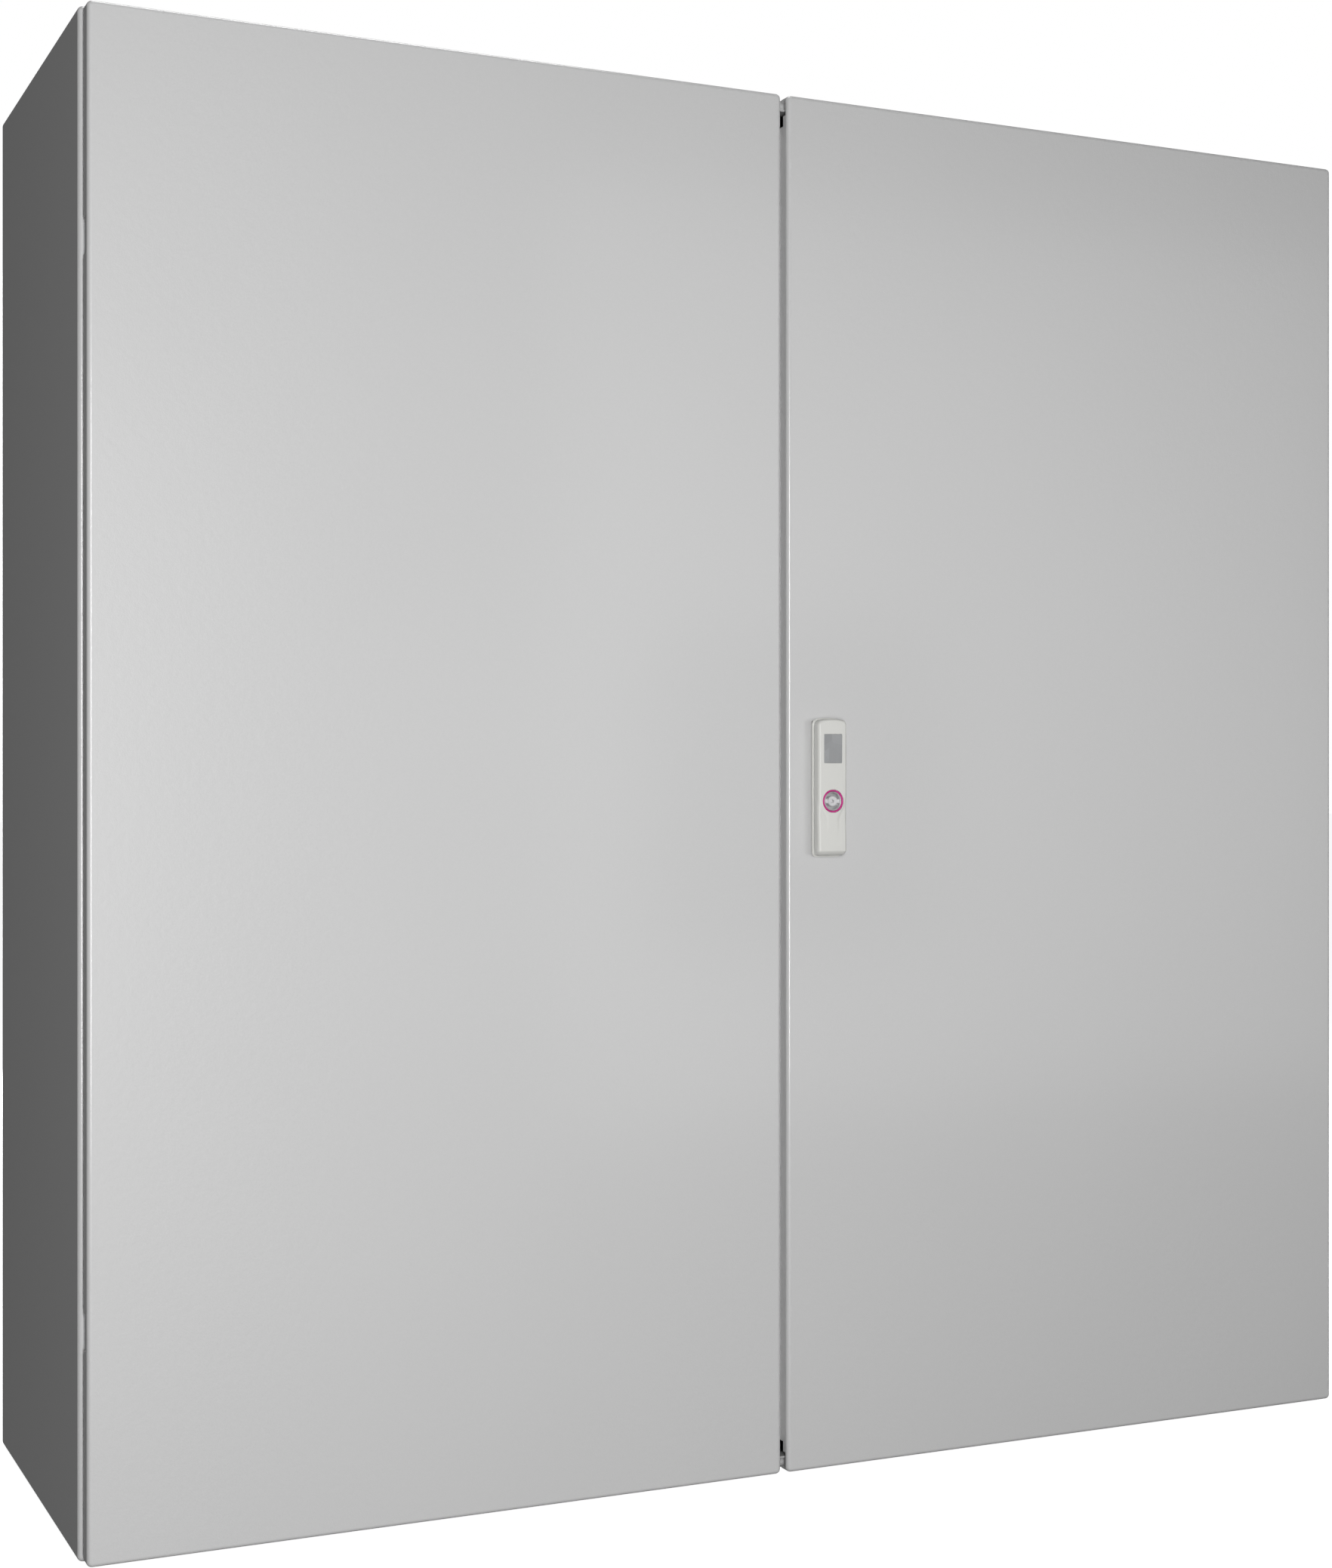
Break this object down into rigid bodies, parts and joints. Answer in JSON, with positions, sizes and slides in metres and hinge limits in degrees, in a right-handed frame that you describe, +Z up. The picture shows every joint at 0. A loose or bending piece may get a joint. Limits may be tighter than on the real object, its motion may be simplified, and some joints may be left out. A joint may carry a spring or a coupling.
{
  "type": "industrial switchboard cabinet",
  "caption": "Sheet-steel wall cabinet for switchgear: two hinged doors closed by a swing handle and rod lock, mounting plate inside, cable entry through plates in the base.",
  "frame": {"origin": "centre of the base, on the plane that the cabinet stands on, half way between the handle's front and the rear face", "axes": "+X to the right as seen from the front, +Y to the rear, +Z up; the doors face -Y"},
  "size_m": [1, 0.332, 1],
  "materials": {
    "enclosure_paint": "light grey textured powder coat",
    "zinc_steel": "zinc-plated sheet, faint spangle",
    "zinc_fasteners": "bright zinc plating",
    "foam_seal": "foamed-in-place polyurethane skin",
    "handle_plastic": "fine-textured light grey moulding",
    "ring_plastic": "magenta moulded ring",
    "lock_metal": "die-cast, nickel plated",
    "black_plastic": "black moulded polyamide"
  },
  "bodies": {
    "cabinet": {"cabinet_shell": "enclosure_paint", "rear_panel": "enclosure_paint", "mounting_plate": "zinc_steel", "cabinet_earth_stud": "zinc_fasteners", "plate_stud_upper_left": "zinc_fasteners", "plate_nut_upper_left": "zinc_fasteners", "wall_plug_upper_left": "black_plastic", "plate_stud_upper_right": "zinc_fasteners", "plate_nut_upper_right": "zinc_fasteners", "wall_plug_upper_right": "black_plastic", "plate_stud_lower_left": "zinc_fasteners", "plate_nut_lower_left": "zinc_fasteners", "wall_plug_lower_left": "black_plastic", "plate_stud_lower_right": "zinc_fasteners", "plate_nut_lower_right": "zinc_fasteners", "wall_plug_lower_right": "black_plastic", "gland_seal_left": "foam_seal", "gland_plate_left": "enclosure_paint", "hinge_bracket_left_upper": "zinc_fasteners", "hinge_pin_left_upper": "zinc_fasteners", "hinge_bracket_left_lower": "zinc_fasteners", "hinge_pin_left_lower": "zinc_fasteners", "gland_seal_right": "foam_seal", "gland_plate_right": "enclosure_paint", "hinge_bracket_right_upper": "zinc_fasteners", "hinge_pin_right_upper": "zinc_fasteners", "hinge_bracket_right_lower": "zinc_fasteners", "hinge_pin_right_lower": "zinc_fasteners"},
    "left_door": {"left_door_panel": "enclosure_paint", "left_door_seal": "foam_seal", "left_door_stiffener_outer": "zinc_steel", "left_door_stiffener_inner": "zinc_steel", "left_door_earth_stud": "zinc_fasteners", "hinge_leaf_left_upper": "zinc_fasteners", "hinge_leaf_left_lower": "zinc_fasteners", "centre_strip": "enclosure_paint", "left_bolt_guide_upper": "zinc_fasteners", "left_bolt_guide_lower": "zinc_fasteners"},
    "right_door": {"right_door_panel": "enclosure_paint", "right_door_seal": "foam_seal", "right_door_stiffener_outer": "zinc_steel", "right_door_stiffener_inner": "zinc_steel", "right_door_earth_stud": "zinc_fasteners", "hinge_leaf_right_upper": "zinc_fasteners", "hinge_leaf_right_lower": "zinc_fasteners", "lock_rod_guide_upper": "black_plastic", "lock_rod_guide_lower": "black_plastic", "lock_case": "black_plastic", "handle_gasket": "foam_seal", "handle_plate": "handle_plastic"},
    "handle_turn_unit": {"handle_hub": "zinc_fasteners", "lock_pinion": "zinc_fasteners", "handle_lift_pin": "zinc_fasteners"},
    "handle_lever_unit": {"handle_lever": "handle_plastic", "lock_ring": "ring_plastic"},
    "lock_insert_unit": {"lock_insert": "lock_metal"},
    "upper_rod": {"lock_rod_upper": "zinc_fasteners"},
    "lower_rod": {"lock_rod_lower": "zinc_fasteners"},
    "upper_bolt": {"left_bolt_upper": "zinc_fasteners"},
    "lower_bolt": {"left_bolt_lower": "zinc_fasteners"}
  },
  "joints": [
    {"name": "left_door_hinge", "type": "hinge", "parent": "cabinet", "child": "left_door", "pos_m": [-0.492, -0.1465, 0.5], "axis": [0, 0, -1], "range_deg": [0, 130]},
    {"name": "right_door_hinge", "type": "hinge", "parent": "cabinet", "child": "right_door", "pos_m": [0.492, -0.1465, 0.5], "axis": [0, 0, 1], "range_deg": [0, 130]},
    {"name": "handle_turn", "type": "hinge", "parent": "right_door", "child": "handle_turn_unit", "pos_m": [0.0335, -0.15, 0.527], "axis": [0, -1, 0], "range_deg": [0, 90]},
    {"name": "lever_lift", "type": "hinge", "parent": "handle_turn_unit", "child": "handle_lever_unit", "pos_m": [0.0335, -0.1624, 0.5435], "axis": [-1, 0, 0], "range_deg": [0, 35]},
    {"name": "lock_insert_turn", "type": "hinge", "parent": "handle_lever_unit", "child": "lock_insert_unit", "pos_m": [0.0335, -0.162, 0.4875], "axis": [0, -1, 0], "range_deg": [0, 90]},
    {"name": "upper_rod_slide", "type": "slide", "parent": "right_door", "child": "upper_rod", "axis": [0, 0, -1], "range_m": [0, 0.0158]},
    {"name": "lower_rod_slide", "type": "slide", "parent": "right_door", "child": "lower_rod", "axis": [0, 0, 1], "range_m": [0, 0.0158]},
    {"name": "upper_bolt_slide", "type": "slide", "parent": "left_door", "child": "upper_bolt", "axis": [0, 0, -1], "range_m": [0, 0.02]},
    {"name": "lower_bolt_slide", "type": "slide", "parent": "left_door", "child": "lower_bolt", "axis": [0, 0, 1], "range_m": [0, 0.02]}
  ],
  "couplings": [
    {"joint": "upper_rod_slide", "follows": "handle_turn", "m_per_rad": 0.01},
    {"joint": "lower_rod_slide", "follows": "handle_turn", "m_per_rad": 0.01}
  ]
}
